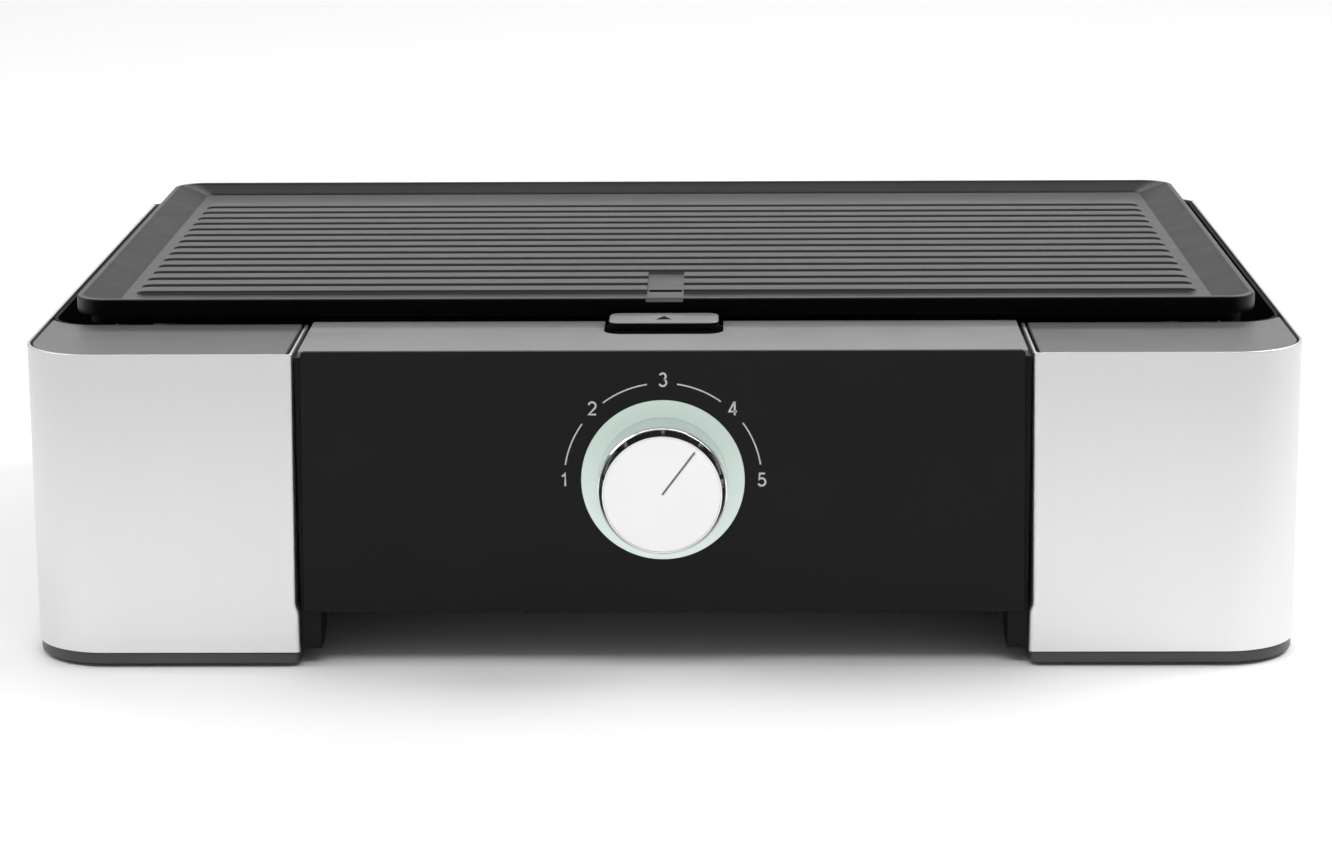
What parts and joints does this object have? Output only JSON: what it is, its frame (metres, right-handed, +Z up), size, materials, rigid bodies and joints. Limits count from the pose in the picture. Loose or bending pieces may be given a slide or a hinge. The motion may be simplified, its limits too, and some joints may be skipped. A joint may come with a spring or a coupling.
{
  "type": "electric griddle",
  "caption": "Tabletop electric griddle: ribbed lift-off plate over a heated well, steel side blocks, black front with a lit dial, lift-out grease tray.",
  "frame": {"origin": "on the table, under the middle of the overall box, knob included", "axes": "+X to the user's right along the longest side, -Y to the front where the dial is, +Z up"},
  "size_m": [0.5, 0.384, 0.1355],
  "materials": {
    "brushed_steel": "brushed vertically, satin",
    "deck_plastic": "satin black moulding",
    "gloss_black": "gloss black panel",
    "black_plastic": "fine texture",
    "trim_plastic": "satin moulding",
    "rubber": "matt",
    "well_enamel": "black heat-resistant coating",
    "coated_cast": "fine-grained non-stick coating on a casting",
    "tray_metal": "dark non-stick coating",
    "bright_sheet": "bright rolled sheet",
    "element_sheath": "heat-darkened tube",
    "ceramic": "white ceramic and heat-proof moulding",
    "light_ring": "frosted translucent, pale green light",
    "chrome": "polished",
    "knob_face": "fine satin",
    "pointer_ink": "dark line",
    "zinc_steel": "zinc-plated",
    "circuit_board": "solder mask",
    "brass": "bright",
    "wire_sleeve": "woven heat-proof sleeve"
  },
  "bodies": {
    "base": {"belly_pan": "black_plastic", "centre_deck": "deck_plastic", "earth_pin": "brass", "earth_wire": "wire_sleeve", "element_wire": "wire_sleeve", "front_fascia": "gloss_black", "front_left_belly_screw": "zinc_steel", "front_left_foot": "rubber", "front_right_belly_screw": "zinc_steel", "front_right_foot": "rubber", "front_terminal_insulator": "ceramic", "fuse_wire": "wire_sleeve", "heating_element": "element_sheath", "inlet_housing": "black_plastic", "led_board": "circuit_board", "left_base_trim": "trim_plastic", "left_bracket_screw": "zinc_steel", "left_deck": "deck_plastic", "left_element_rest": "bright_sheet", "left_inner_wall": "black_plastic", "left_rear_screw": "zinc_steel", "left_shell": "brushed_steel", "light_ring": "light_ring", "live_pin": "brass", "live_wire": "wire_sleeve", "neutral_pin": "brass", "neutral_wire": "wire_sleeve", "rear_left_belly_screw": "zinc_steel", "rear_left_foot": "rubber", "rear_panel": "black_plastic", "rear_right_belly_screw": "zinc_steel", "rear_right_foot": "rubber", "rear_terminal_insulator": "ceramic", "reflector_tray": "bright_sheet", "return_wire": "wire_sleeve", "right_base_trim": "trim_plastic", "right_bracket_screw": "zinc_steel", "right_deck": "deck_plastic", "right_element_rest": "bright_sheet", "right_inner_wall": "black_plastic", "right_rear_screw": "zinc_steel", "right_shell": "brushed_steel", "terminal_block": "ceramic", "thermal_fuse": "zinc_steel", "thermostat_body": "ceramic", "thermostat_bracket": "zinc_steel", "thermostat_wire": "wire_sleeve", "well_tub": "well_enamel"},
    "grill_plate": {"grill_plate": "coated_cast"},
    "drip_tray": {"drip_tray": "tray_metal", "tray_grip": "deck_plastic"},
    "knob": {"knob_body": "chrome", "knob_cap": "knob_face", "pointer_line": "pointer_ink", "thermostat_shaft": "zinc_steel"},
    "probe": {"probe_cap": "bright_sheet", "probe_clip": "zinc_steel", "probe_spring": "zinc_steel"}
  },
  "joints": [
    {"name": "tray_lift", "type": "slide", "parent": "base", "child": "drip_tray", "axis": [0, 0, 1], "range_m": [0, 0.06]},
    {"name": "plate_lift", "type": "slide", "parent": "drip_tray", "child": "grill_plate", "axis": [0, 0, 1], "range_m": [0, 0.06]},
    {"name": "knob_turn", "type": "hinge", "parent": "base", "child": "knob", "pos_m": [0, -0.168, 0.0756], "axis": [0, 1, 0], "range_deg": [-157, 53]},
    {"name": "probe_press", "type": "slide", "parent": "base", "child": "probe", "axis": [0, 0, 1], "range_m": [-0.003, 0], "stiffness_N_per_m": 500, "springref_m": 0.004, "deforming": ["probe_spring"]}
  ]
}
